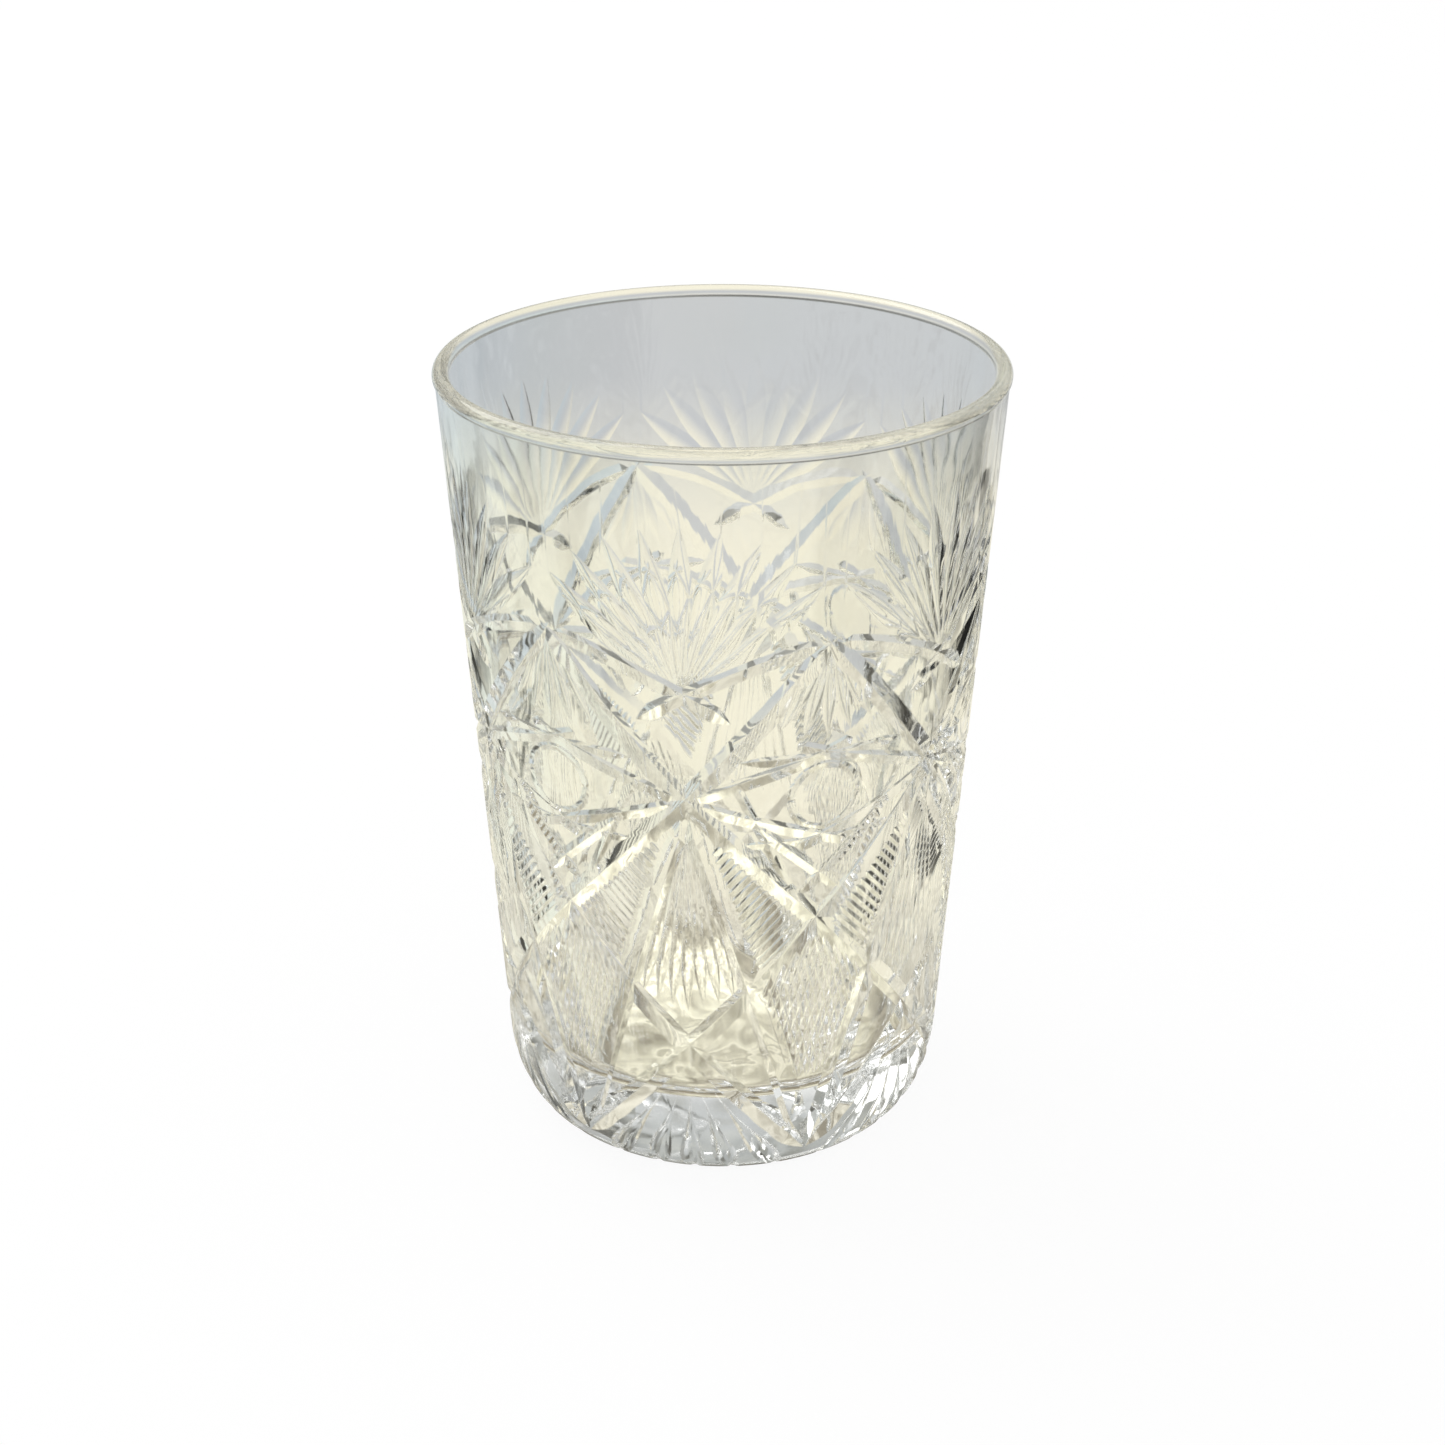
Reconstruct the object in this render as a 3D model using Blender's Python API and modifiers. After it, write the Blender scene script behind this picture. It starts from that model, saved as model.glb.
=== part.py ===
"""A cut-crystal tea glass: one turned body of glass with its wheel-cut pattern.

Metres, +Z up. The origin is the centre of the base, and a star hub of the
pattern faces -Y. Run it with blender --background --python part.py, or from
the text editor.
"""

import math

import bmesh
import bpy
from mathutils import Vector

# The blown body
GLASS_HEIGHT = 0.104
RIM_DIAMETER = 0.072
RIM_WALL = 0.0021
RIM_FLARE = 0.0004
RIM_FLARE_HEIGHT = 0.0010
HEEL_DIAMETER = 0.0600
HEEL_HEIGHT = 0.0110
FOOT_DIAMETER = 0.049
FLOOR_THICKNESS = 0.0115
FLOOR_WALL = 0.0042
FLOOR_FILLET = 0.004

# The rows of the pattern: the upper ones hang from the rim, the lower ones stand on the base
PATTERN_REPEATS = 6
PLAIN_BAND = 0.0086
FAN_LEAF_LENGTH = 0.0224
PEAK_RISE = 0.006
STAR_HUB_DROP = 0.0145
LOWER_VERTEX_HEIGHT = 0.0405
CROSSING_HEIGHT = 0.022
HEEL_VERTEX_HEIGHT = 0.004

# The cuts: full widths at the surface of the glass
DIAGONAL_WIDTH = 0.0030
SWAG_WIDTH = 0.0021
SWAG_START = 0.06
SWAG_END = 1.30
SWAG_BOW = 1.6
LEG_WIDTH = 0.0036
LEAF_SKEW = 1.3
FAN_LEAF_WIDTH = 0.0030
FAN_LEAVES = 9
PEAK_LEAF_WIDTH = 0.0020
PEAK_LEAF_LENGTH = 0.0125
PEAK_LEAVES = 5
PEAK_FAN_SPREAD = math.radians(28)
FLUTE_WIDTH = 0.0019
FLUTE_LENGTH = 0.0290
FLUTES = 5
FLUTE_SPREAD = math.radians(11)
HUB_CLEARANCE = 0.0016
DIAGONAL_OVERRUN = 0.0010

# The mitre wheel: depth of a cut for each unit of half its width
MITRE_DEPTH = 0.50
SECOND_CUT_DEPTH = 0.93
LINE_HEAD = 0.00025
LEAF_HEAD = 0.00012
POINT_LIFT = 0.00004

# Facets of the round forms
GLASS_SIDES = 48
LIP_STEPS = 4
FILLET_STEPS = 3
HEEL_STEPS = 4
LEAF_RINGS = 4
SWAG_RINGS = 4
LEG_RINGS = 6
DIAGONAL_RINGS = 15
FACET_TURN = math.radians(2.0)
MERGE_DISTANCE = 0.00001

# Sizes that follow from the ones above
RIM_RADIUS = RIM_DIAMETER / 2
HEEL_RADIUS = HEEL_DIAMETER / 2
FOOT_RADIUS = FOOT_DIAMETER / 2
SECTOR = 2 * math.pi / PATTERN_REPEATS
HALF_SECTOR = SECTOR / 2
FAN_HUB_HEIGHT = GLASS_HEIGHT - PLAIN_BAND - FAN_LEAF_LENGTH
PEAK_HEIGHT = FAN_HUB_HEIGHT + PEAK_RISE
STAR_HUB_HEIGHT = FAN_HUB_HEIGHT - STAR_HUB_DROP

GLASS_COLOUR = (0.97, 0.97, 0.94, 1.0)
GLASS_ROUGHNESS = 0.02
GLASS_INDEX = 1.53


def outer_radius(height):
    """Radius of the uncut outside: a straight taper above a rounded heel."""
    if height < HEEL_HEIGHT:
        below = min(1.0, 1 - height / HEEL_HEIGHT)
        return FOOT_RADIUS + (HEEL_RADIUS - FOOT_RADIUS) * math.sqrt(1 - below * below)
    taper = (RIM_RADIUS - RIM_FLARE - HEEL_RADIUS) / (GLASS_HEIGHT - HEEL_HEIGHT)
    return HEEL_RADIUS + taper * (height - HEEL_HEIGHT)


def inner_radius(height):
    """Radius of the inside, where the wall thins from the floor to the rim."""
    share = (height - FLOOR_THICKNESS) / (GLASS_HEIGHT - FLOOR_THICKNESS)
    inner_rim = RIM_RADIUS - RIM_WALL
    inner_floor = outer_radius(FLOOR_THICKNESS) - FLOOR_WALL
    return inner_floor + (inner_rim - inner_floor) * share


def glass_profile():
    """Half section of the glass, from the inner floor over the lip to the base."""
    points = [(0.0, FLOOR_THICKNESS)]
    fillet_top = FLOOR_THICKNESS + FLOOR_FILLET
    for step in range(FILLET_STEPS + 1):
        turn = math.pi / 2 * step / FILLET_STEPS
        radius = inner_radius(fillet_top) - FLOOR_FILLET * (1 - math.sin(turn))
        points.append((radius, fillet_top - FLOOR_FILLET * math.cos(turn)))
    lip = RIM_WALL / 2
    for step in range(LIP_STEPS + 1):
        turn = math.pi * step / LIP_STEPS
        points.append((RIM_RADIUS - lip - lip * math.cos(turn), GLASS_HEIGHT - lip + lip * math.sin(turn)))
    flare_foot = GLASS_HEIGHT - lip - RIM_FLARE_HEIGHT
    points.append((outer_radius(flare_foot), flare_foot))
    for step in range(HEEL_STEPS + 1):
        turn = math.pi / 2 * step / HEEL_STEPS
        radius = FOOT_RADIUS + (HEEL_RADIUS - FOOT_RADIUS) * math.cos(turn)
        points.append((radius, HEEL_HEIGHT * (1 - math.sin(turn))))
    points.append((0.0, 0.0))
    return points


def wall_point(turn, height):
    """A point on the uncut outside, at an angle from the -Y direction."""
    radius = outer_radius(height)
    return Vector((radius * math.sin(turn), -radius * math.cos(turn), height))


def wall_normal(turn, height):
    """The outward direction of the uncut outside at the same place."""
    step = MERGE_DISTANCE
    slope = (outer_radius(height + step) - outer_radius(height - step)) / (2 * step)
    return Vector((math.sin(turn), -math.cos(turn), -slope)).normalized()


def along(places):
    """A path through (angle, height) places on the wall, for a share from 0 to 1."""
    def path(share):
        reach = share * (len(places) - 1)
        first = min(int(reach), len(places) - 2)
        rest = reach - first
        (turn_a, height_a), (turn_b, height_b) = places[first], places[first + 1]
        return turn_a + (turn_b - turn_a) * rest, height_a + (height_b - height_a) * rest
    return path


def even_width(share):
    """A long mitre cut keeps its width and runs out only at its ends."""
    return 1.0 if 0 < share < 1 else 0.0


def leaf_width(share):
    """A leaf cut is widest past its middle and comes to a point at both ends."""
    return math.sin(math.pi * share ** LEAF_SKEW)


def add_cut(bm, path, width, width_at, rings, head, steepness):
    """Adds a four-sided spindle laid along a path on the wall, one edge pointing inwards.

    Its flanks run on above the wall by the head, so that it never undercuts the round glass.
    """
    made = bmesh.ops.create_uvsphere(bm, u_segments=4, v_segments=rings, radius=1.0)
    probe = 1 / (2 * rings)
    for vert in made["verts"]:
        polar = math.acos(max(-1.0, min(1.0, vert.co.z)))
        share = round(polar / math.pi * rings) / rings
        turn, height = path(share)
        place = wall_point(turn, height)
        normal = wall_normal(turn, height)
        before = wall_point(*path(max(0.0, share - probe)))
        after = wall_point(*path(min(1.0, share + probe)))
        side = (after - before).cross(normal).normalized()
        half = width / 2 * width_at(share)
        if not 0 < share < 1:
            vert.co = place + normal * POINT_LIFT
        elif abs(vert.co.x) > abs(vert.co.y):
            vert.co = place + side * math.copysign(half + head / steepness, vert.co.x) + normal * head
        elif vert.co.y > 0:
            vert.co = place + normal * 2 * head
        else:
            vert.co = place - normal * half * steepness


def fan_paths(hub, length, leaves, spread, upwards):
    """Straight paths that leave a hub like the ribs of a fan, spread each side of the vertical."""
    hub_turn, hub_height = hub
    paths = []
    for leaf in range(leaves):
        lean = spread * (2 * leaf / (leaves - 1) - 1)
        places = []
        for reach in (HUB_CLEARANCE, length):
            height = hub_height + reach * math.cos(lean) * (1 if upwards else -1)
            turn = hub_turn + reach * math.sin(lean) / outer_radius(max(height, HEEL_HEIGHT))
            places.append((turn, height))
        paths.append(along(places))
    return paths


def both_hands(places):
    """The same line of places leaning to the right and to the left."""
    return [[(hand * turn, height) for turn, height in places] for hand in (1, -1)]


def between(start, end, share):
    """The place at a share of the way from one place to another, or beyond them."""
    return tuple(a + (b - a) * share for a, b in zip(start, end))


def over_heel(start, end):
    """Splits a line that runs down over the heel at the heel's top, where the wall starts to turn in."""
    return [start, between(start, end, (start[1] - HEEL_HEIGHT) / (start[1] - end[1])), end]


def diagonal_places():
    """From just over a peak down through hub, lower vertex and crossing to the heel."""
    heights = (PEAK_HEIGHT, STAR_HUB_HEIGHT, LOWER_VERTEX_HEIGHT, CROSSING_HEIGHT, HEEL_VERTEX_HEIGHT)
    places = [((column - 1) * HALF_SECTOR, height) for column, height in enumerate(heights)]
    overrun = DIAGONAL_OVERRUN / (PEAK_HEIGHT - STAR_HUB_HEIGHT)
    places[0] = between(places[0], places[1], -overrun)
    return places[:-2] + over_heel(*places[-2:])


def swag_places():
    """From beside a peak in a shallow arch to the fan hub, and on past it."""
    places = []
    for step in range(SWAG_RINGS + 1):
        share = SWAG_START + (SWAG_END - SWAG_START) * step / SWAG_RINGS
        places.append((HALF_SECTOR * (1 - share), PEAK_HEIGHT - PEAK_RISE * share ** SWAG_BOW))
    return places


def leg_places():
    """From a star hub straight down to the heel vertex beside it."""
    hub = (0.0, STAR_HUB_HEIGHT)
    vertex = (HALF_SECTOR, HEEL_VERTEX_HEIGHT)
    gap = HUB_CLEARANCE / (STAR_HUB_HEIGHT - HEEL_VERTEX_HEIGHT)
    return over_heel(between(hub, vertex, gap), between(hub, vertex, 1 - gap))


def leaf_cuts():
    """Every leaf of one sector: (path, width) of the fans and of the tent's flutes."""
    fan_room = HALF_SECTOR * outer_radius(FAN_HUB_HEIGHT) - FAN_LEAF_WIDTH / 4
    fan_spread = math.asin(min(1.0, fan_room / FAN_LEAF_LENGTH))
    groups = (
        (FAN_LEAF_WIDTH, ((0.0, FAN_HUB_HEIGHT), FAN_LEAF_LENGTH, FAN_LEAVES, fan_spread, True)),
        (PEAK_LEAF_WIDTH, ((HALF_SECTOR, PEAK_HEIGHT), PEAK_LEAF_LENGTH, PEAK_LEAVES, PEAK_FAN_SPREAD, False)),
        (FLUTE_WIDTH, ((0.0, STAR_HUB_HEIGHT), FLUTE_LENGTH, FLUTES, FLUTE_SPREAD, False)),
    )
    return [(path, width) for width, fan in groups for path in fan_paths(*fan)]


def turned(path, sector):
    """The same path moved round to another sector of the glass."""
    def moved(share):
        turn, height = path(share)
        return turn + sector * SECTOR, height
    return moved


def cutter(name, cuts, width_at, rings, head, steepness, collection):
    """One hidden object that holds a set of cuts, repeated in every sector."""
    bm = bmesh.new()
    for sector in range(PATTERN_REPEATS):
        for path, width in cuts:
            add_cut(bm, turned(path, sector), width, width_at, rings, head, steepness)
    bmesh.ops.recalc_face_normals(bm, faces=bm.faces)
    mesh = bpy.data.meshes.new(name)
    bm.to_mesh(mesh)
    bm.free()
    wheel = bpy.data.objects.new(name, mesh)
    wheel.hide_render = True
    wheel.display_type = "WIRE"
    collection.objects.link(wheel)
    return wheel


def make_cutters(collection):
    """The cuts in the order in which they are ground: long lines first, leaves last."""
    cutters = []
    line_sets = (
        ("diagonal", diagonal_places(), DIAGONAL_WIDTH, DIAGONAL_RINGS),
        ("swag", swag_places(), SWAG_WIDTH, SWAG_RINGS),
        ("leg", leg_places(), LEG_WIDTH, LEG_RINGS),
    )
    for name, places, width, rings in line_sets:
        hands = (("right", MITRE_DEPTH), ("left", MITRE_DEPTH * SECOND_CUT_DEPTH))
        for (hand, steepness), line in zip(hands, both_hands(places)):
            cuts = [(along(line), width)]
            cut_name = f"cut_{name}_{hand}"
            cutters.append(cutter(cut_name, cuts, even_width, rings, LINE_HEAD, steepness, collection))
    leaves = cutter("cut_leaves", leaf_cuts(), leaf_width, LEAF_RINGS, LEAF_HEAD, MITRE_DEPTH, collection)
    cutters.append(leaves)
    return cutters


def glass_material():
    """Clear lead crystal."""
    material = bpy.data.materials.new("crystal")
    material.use_nodes = True
    shader = material.node_tree.nodes["Principled BSDF"]
    shader.inputs["Base Color"].default_value = GLASS_COLOUR
    shader.inputs["Roughness"].default_value = GLASS_ROUGHNESS
    shader.inputs["Metallic"].default_value = 0.0
    shader.inputs["IOR"].default_value = GLASS_INDEX
    shader.inputs["Transmission Weight"].default_value = 1.0
    return material


def make_glass(collection, cutters):
    """Turns the body and takes every cut out of it."""
    profile = glass_profile()
    mesh = bpy.data.meshes.new("cut_glass_tumbler")
    edges = [(index, index + 1) for index in range(len(profile) - 1)]
    across, aside = math.cos(FACET_TURN), math.sin(FACET_TURN)
    points = [(radius * across, radius * aside, height) for radius, height in profile]
    mesh.from_pydata(points, edges, [])
    glass = bpy.data.objects.new("cut_glass_tumbler", mesh)
    collection.objects.link(glass)
    mesh.materials.append(glass_material())
    turn = glass.modifiers.new("turn", "SCREW")
    turn.axis = "Z"
    turn.steps = GLASS_SIDES
    turn.render_steps = GLASS_SIDES
    turn.use_merge_vertices = True
    turn.merge_threshold = MERGE_DISTANCE
    turn.use_smooth_shade = True
    for wheel in cutters:
        cut = glass.modifiers.new(wheel.name, "BOOLEAN")
        cut.operation = "DIFFERENCE"
        cut.object = wheel
        cut.use_self = True
    return glass


def shake_off_chips(glass):
    """Keeps the ground body alone, without the loose chips that crossing cuts leave between them."""
    depsgraph = bpy.context.evaluated_depsgraph_get()
    ground = bpy.data.meshes.new_from_object(glass.evaluated_get(depsgraph))
    bm = bmesh.new()
    bm.from_mesh(ground)
    unseen = set(bm.faces)
    bodies = []
    while unseen:
        front = {unseen.pop()}
        body = set(front)
        while front:
            edges = {edge for face in front for edge in face.edges}
            front = {face for edge in edges for face in edge.link_faces} & unseen
            unseen -= front
            body |= front
        bodies.append(body)
    bodies.sort(key=len)
    chips = [face for body in bodies[:-1] for face in body]
    bmesh.ops.delete(bm, geom=chips, context="FACES")
    bm.to_mesh(ground)
    bm.free()
    glass.modifiers.clear()
    glass.data = ground


def new_collection(name):
    """A collection in the scene."""
    collection = bpy.data.collections.new(name)
    bpy.context.scene.collection.children.link(collection)
    return collection


def main():
    """Clears the scene and builds the glass."""
    for thing in list(bpy.data.objects):
        bpy.data.objects.remove(thing)
    cutters = make_cutters(new_collection("tea_glass_cutters"))
    shake_off_chips(make_glass(new_collection("tea_glass"), cutters))


main()
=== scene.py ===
import math

import bmesh
import bpy
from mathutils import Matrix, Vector


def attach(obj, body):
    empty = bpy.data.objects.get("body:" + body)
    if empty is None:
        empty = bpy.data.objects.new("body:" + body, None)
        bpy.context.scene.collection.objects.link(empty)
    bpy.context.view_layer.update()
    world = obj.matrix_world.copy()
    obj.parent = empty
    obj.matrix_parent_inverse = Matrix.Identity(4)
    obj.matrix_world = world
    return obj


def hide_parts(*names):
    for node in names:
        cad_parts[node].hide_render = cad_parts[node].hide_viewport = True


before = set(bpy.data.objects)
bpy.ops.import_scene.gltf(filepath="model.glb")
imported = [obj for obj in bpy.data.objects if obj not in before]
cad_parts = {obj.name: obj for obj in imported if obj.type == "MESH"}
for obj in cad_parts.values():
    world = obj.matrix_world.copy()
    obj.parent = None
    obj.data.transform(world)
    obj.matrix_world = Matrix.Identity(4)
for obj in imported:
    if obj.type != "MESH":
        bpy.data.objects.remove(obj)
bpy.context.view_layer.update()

bl_info = {
    "name": "Cut crystal tea glass",
    "version": (1, 0, 0),
    "blender": (4, 5, 0),
    "location": "3D View > Sidebar > Tea Glass",
    "description": "Turns and wheel-cuts a crystal tea glass, and sets it on a pale studio table",
    "category": "Add Mesh",
}

# The pattern repeats round the glass, and each repeat is its own mirror image
REPEATS = 6
SECTOR = math.tau / REPEATS
HALF = SECTOR / 2

# Steps of the turned glass, and a small turn that keeps its seams off the cuts
HEEL_STEPS = 20
LIP_STEPS = 40
LIP_TRIES = 8
FILLET_STEPS = 18
BLANK_TURN = 0.005

# Edges blunter than this are shaded smooth
SMOOTH_ANGLE = math.radians(9)

# Smaller than any share or area that matters
TINY = 1e-12

# Strokes: sides of a V and of a hollow one, and the hollow under which a corner is on the brink
V_SIDES = 4
HOLLOW_SIDES = 12
BRINK = 0.01

# How far lines, leaves and the points of both stand over the wall, and how leaves taper
LINE_HEAD = 0.00020
LEAF_HEAD = 0.00012
POINT_LIFT = 0.00004
LEAF_TAPER = 1.3

# Sets are ground to slightly different depths, so that no two flanks share a plane
DEPTH_STEP = 0.013
DEPTH_LEVELS = 5

# Close neighbours are ground in two passes, because the strokes of one set must not meet
PASSES = ("first", "second")

# Long cuts: where they start and how far they run, as shares of the way between two marks
DIAGONAL_START = -0.05
SWAG_START, SWAG_RUN = 0.06, 1.24
SWAG_BOW = 1.6
SWAG_STEPS = 8
LEG_START, LEG_RUN = 0.03, 0.94
LEG_STEPS = 14

# Brows under a fan's hub: degrees from the hub and metres below it
BROW_MARKS = ((0.8, 0.0003), (9.8, 0.0036))

# Lines of the star in each big diamond: degrees and millimetres from its middle, and the width
STAR_LINES = (
    ("under", ((-29, -0.2), (-14, -2.9), (0, -5.6), (6, -6.8)), 0.0018),
    ("over", ((-29, 0.2), (-18, 2.6), (0, 6.0), (6, 7.3)), 0.0018),
    ("steep", ((-20.5, 4.0), (-4.5, -16.0)), 0.0013),
    ("short", ((-16.5, -2.5), (5.5, -14.0)), 0.0017),
)
STAR_LEVELS = (
    ("low", ((-20, -6.0), (20, -6.0)), 0.0011),
    ("high", ((-19, 5.6), (19, 5.6)), 0.0014),
)
STAR_RINGS = 4
BUTTON_STEPS = 12
BUTTON_OVERLAP = 0.03

# Hatching: how far it keeps from its borders, where it ends on a leg, and where its patches start
HATCH_INSET = 0.0008
HATCH_FOOT = 0.0315
HATCH_START = 0.22
NET_START = 0.42

# Fans: steps along a leaf, the gap left at a hub, and the lowest height that widens turns
FAN_STEPS = 8
HUB_CLEARANCE = 0.0016
HEEL_LEVEL = 0.006

# How many leaves each fan has, the turn of the outer ones, and what shortens them
FAN_LEAVES, FAN_SPREAD = 9, math.radians(51)
PEAK_LEAVES, PEAK_SPREAD = 5, math.radians(29)
FLUTES, FLUTE_SPREAD = 7, math.radians(11.5)
FLUTE_START = 0.0060
FLUTE_NARROWING = 0.35
FOOT_RAYS, FOOT_SPREAD = 7, math.radians(47)
FOOT_NARROWING = 0.01
FOOT_ROOM = 0.0125

# Table tones: where each holds or begins, in metres from the axis of the glass
POOL_EDGE = 0.0205
CONTACT_FROM, CONTACT_TO = 0.0245, 0.0275
RING_FROM, RING_TO = 0.036, 0.055
NEAR_FROM = 0.085

# Light that the glass gathers: how it grows behind the axis, where it fades out, and its two shares
CAUSTIC_FROM, CAUSTIC_TO = -0.004, 0.016
SPILL_FROM, SPILL_TO = 0.026, 0.045
POOL_SHARE, SPILL_SHARE = 0.75, 0.25

# Dark parts of the table: how far to the side, how far off, and the noise values where they set in
ASIDE_FROM, ASIDE_TO = 0.54, 0.64
DARK_FROM, DARK_TO = 0.10, 0.17
BLOTCH_FROM, BLOTCH_TO = 0.455, 0.495
BLOTCH_LEAN = 0.24

# Cool light on the left: how far from the axis it sets in and is full
COOL_FROM, COOL_TO = 0.02, 0.16

# Light that plays on the table close to the glass: where it fades out, and its tones by noise value
PLAY_FROM, PLAY_TO = 0.03, 0.09
PLAY_TONES = (
    (0.30, (0.34, 0.32, 0.29)), (0.42, (0.66, 0.65, 0.62)), (0.50, (0.92, 0.92, 0.90)),
    (0.55, (1.10, 1.10, 1.10)), (0.60, (0.66, 0.65, 0.62)), (0.72, (1.04, 1.04, 1.02)),
)

# Shares of its own light that the table shows to the camera, and to rays from the glass
DIRECT_GLOW = 0.93
GLASS_GLOW = 0.55

# Room: the sines of elevation at which its tones hold, and its light and dark parts by noise value
HORIZON_TOP, WALL_AT, CEILING_AT = 0.12, 0.4, 0.85
ROOM_TONES = (
    (0.36, (0.22, 0.22, 0.22)), (0.45, (0.62, 0.62, 0.60)),
    (0.53, (0.85, 0.86, 0.88)), (0.64, (1.0, 1.0, 1.0)),
)
WHITE = (1, 1, 1)

# The table lies a hair under the foot, so that the two faces don't share a plane
TABLE_WIDTH = 8.0
TABLE_LEVEL = -0.0004

# Lamp over the table, on the left behind the glass
WINDOW_PLACE = (-1.0, 0.6, 1.5)
WINDOW_AIM = (0, 0, 0.05)
WINDOW_WIDTH, WINDOW_HEIGHT = 1.2, 1.4
WINDOW_POWER = 12.0

# Camera, and how often light may bounce in the glass
SENSOR_WIDTH = 36.0
NEAR_CLIP = 0.01
BOUNCES = 32
GLOSSY_BOUNCES = 24


def length(name, description, default):
    """A size in metres."""
    return bpy.props.FloatProperty(
        name=name, description=description, default=default, min=0.0, precision=5, unit="LENGTH")


def angle(name, description, degrees):
    """A turn, given in degrees."""
    return bpy.props.FloatProperty(
        name=name, description=description, default=math.radians(degrees), subtype="ANGLE")


def colour(name, description, default):
    """A linear colour."""
    return bpy.props.FloatVectorProperty(
        name=name, description=description, default=default, size=3, min=0.0, max=4.0, subtype="COLOR")


def factor(name, description, default, high=1.0):
    """A plain number."""
    return bpy.props.FloatProperty(name=name, description=description, default=default, min=0.0, max=high)


def steep(name, default):
    """How deep a kind of stroke is, which sets the slope of its flanks."""
    return factor(f"{name} steepness", "Depth of the stroke as a share of half its width", default, 2.0)


class TumblerSizes(bpy.types.PropertyGroup):
    """Sizes of the turned glass before it is cut."""
    height: length("Height", "From the table to the top of the lip", 0.104)
    rim: length("Rim diameter", "Across the outside of the lip", 0.072)
    rim_wall: length("Rim wall", "Thickness of the lip", 0.0021)
    flare: length("Bead", "How far the rolled lip stands out from the wall", 0.0002)
    heel: length("Heel diameter", "Across the top of the rounded heel", 0.060)
    heel_height: length("Heel height", "Height of the rounded heel", 0.011)
    foot: length("Foot diameter", "Across the flat base", 0.049)
    floor: length("Floor thickness", "Glass under the inside", 0.0115)
    floor_wall: length("Floor wall", "Thickness of the wall at the inner floor", 0.0042)
    fillet: length("Floor fillet", "Radius inside, between wall and floor", 0.004)
    sides: bpy.props.IntProperty(
        name="Sides", description="Steps round the turned glass", default=240, min=48)


class PatternSizes(bpy.types.PropertyGroup):
    """Where the pattern's marks lie on the wall, and how wide and deep each kind of cut is."""
    fan_hub: length("Fan hub", "Height of the upper fans' hubs", 0.073)
    peak: length("Peak", "Height of the diamonds' peaks", 0.079)
    star_hub: length("Star hub", "Height where the long cuts cross on the wall's middle", 0.0585)
    lower: length("Lower vertex", "Height of the diamonds' lower corners", 0.0405)
    crossing: length("Crossing", "Height of the low crossings", 0.022)
    heel_vertex: length("Heel vertex", "Height where the legs meet on the heel", 0.004)
    diagonal: length("Diagonal width", "Width of the long crossing cuts", 0.0030)
    swag: length("Swag width", "Width of the arched cuts under the fans", 0.0021)
    leg: length("Leg width", "Width of the tent legs", 0.0036)
    leg_lean: factor("Leg lean", "How far a leg's deepest line lies towards its tent", 0.40)
    button: length("Button diameter", "Across the groove round the plain button in each star", 0.0088)
    groove: length("Groove width", "Width of the groove round a button", 0.0011)
    brow: length("Brow width", "Width of the two short cuts under a fan's hub", 0.0022)
    fan_leaf: length("Fan leaf width", "Width of an upper fan's leaves", 0.0032)
    fan_reach: length("Fan leaf length", "Length of an upper fan's leaves", 0.0224)
    peak_leaf: length("Peak leaf width", "Width of the leaves under a peak", 0.0020)
    peak_reach: length("Peak leaf length", "Length of the leaves under a peak", 0.0125)
    flute: length("Flute width", "Width of the flutes in a tent", 0.0019)
    flute_reach: length("Flute reach", "From a tent's hub to the end of its middle flute", 0.0310)
    hatch: length("Hatch width", "Width of a hatching line", 0.0010)
    hatch_step: length("Hatch step", "Distance between hatching lines", 0.00108)
    foot_ray: length("Foot ray width", "Width of the rays under a crossing", 0.0034)
    foot_reach: length("Foot ray reach", "From a crossing down to the end of the rays under it", 0.0207)
    line_steepness: steep("Line", 0.50)
    brow_steepness: steep("Brow", 0.95)
    star_steepness: steep("Star", 0.55)
    hatch_steepness: steep("Hatch", 0.78)
    fan_steepness: steep("Fan", 0.155)
    peak_steepness: steep("Peak", 0.20)
    flute_steepness: steep("Flute", 0.48)
    foot_steepness: steep("Foot ray", 0.30)


class CrystalFinish(bpy.types.PropertyGroup):
    """Look of the polished crystal."""
    tint: colour("Tint", "Colour that the glass lets through", (0.99, 0.99, 0.98))
    streak: colour("Streaks", "Colour of the faint streaks left in the glass", (0.97, 0.975, 0.955))
    ior: factor("Index", "Refractive index of the crystal", 1.53, 3.0)
    haze: factor("Haze", "Roughness of the polished glass", 0.0)
    ripple: factor("Ripple", "Depth of the slow ripple left by hand finishing", 0.04)
    edge: length("Soft edge", "Rounding that the acid polish leaves on the edges of the cuts", 0.0002)


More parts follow.
